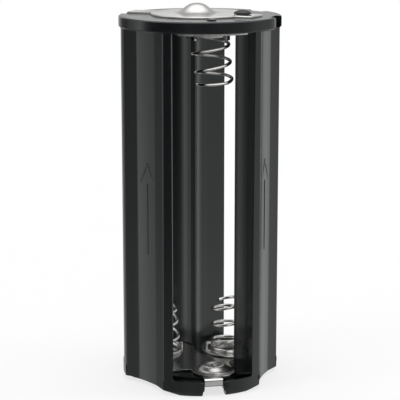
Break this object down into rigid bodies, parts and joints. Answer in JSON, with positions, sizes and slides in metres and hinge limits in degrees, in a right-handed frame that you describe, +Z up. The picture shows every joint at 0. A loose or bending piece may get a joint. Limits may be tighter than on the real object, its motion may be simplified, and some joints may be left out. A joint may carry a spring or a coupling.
{
  "type": "cylindrical cell holder",
  "caption": "Black moulded cartridge that carries slim cylindrical cells side by side in series, with sprung contacts, a domed top button and a fluted back to each column.",
  "frame": {"origin": "on the cartridge's axis, in the plane of its feet", "axes": "+Z up along the cartridge's axis to the top button; -Y is the way the front bay opens"},
  "size_m": [0.0224, 0.0225, 0.0532],
  "materials": {
    "black_abs": "injection-moulded ABS, semi-gloss",
    "nickel_sheet": "nickel-plated steel sheet, bright",
    "spring_wire": "nickel-plated spring wire, bright"
  },
  "bodies": {
    "cartridge": {"frame": "black_abs", "top_terminal": "nickel_sheet", "upper_bridge": "nickel_sheet", "lower_bridge": "nickel_sheet", "bottom_terminal": "nickel_sheet"},
    "upper_spring": {"upper_spring": "spring_wire"},
    "right_lower_spring": {"right_lower_spring": "spring_wire"},
    "left_lower_spring": {"left_lower_spring": "spring_wire"}
  },
  "joints": [
    {"name": "upper_spring_press", "type": "slide", "parent": "cartridge", "child": "upper_spring", "axis": [0, 0, 1], "range_m": [0, 0.0055], "stiffness_N_per_m": 250, "deforming": ["upper_spring"]},
    {"name": "right_lower_spring_press", "type": "slide", "parent": "cartridge", "child": "right_lower_spring", "axis": [0, 0, -1], "range_m": [0, 0.0052], "stiffness_N_per_m": 250, "deforming": ["right_lower_spring"]},
    {"name": "left_lower_spring_press", "type": "slide", "parent": "cartridge", "child": "left_lower_spring", "axis": [0, 0, -1], "range_m": [0, 0.0052], "stiffness_N_per_m": 250, "deforming": ["left_lower_spring"]}
  ]
}
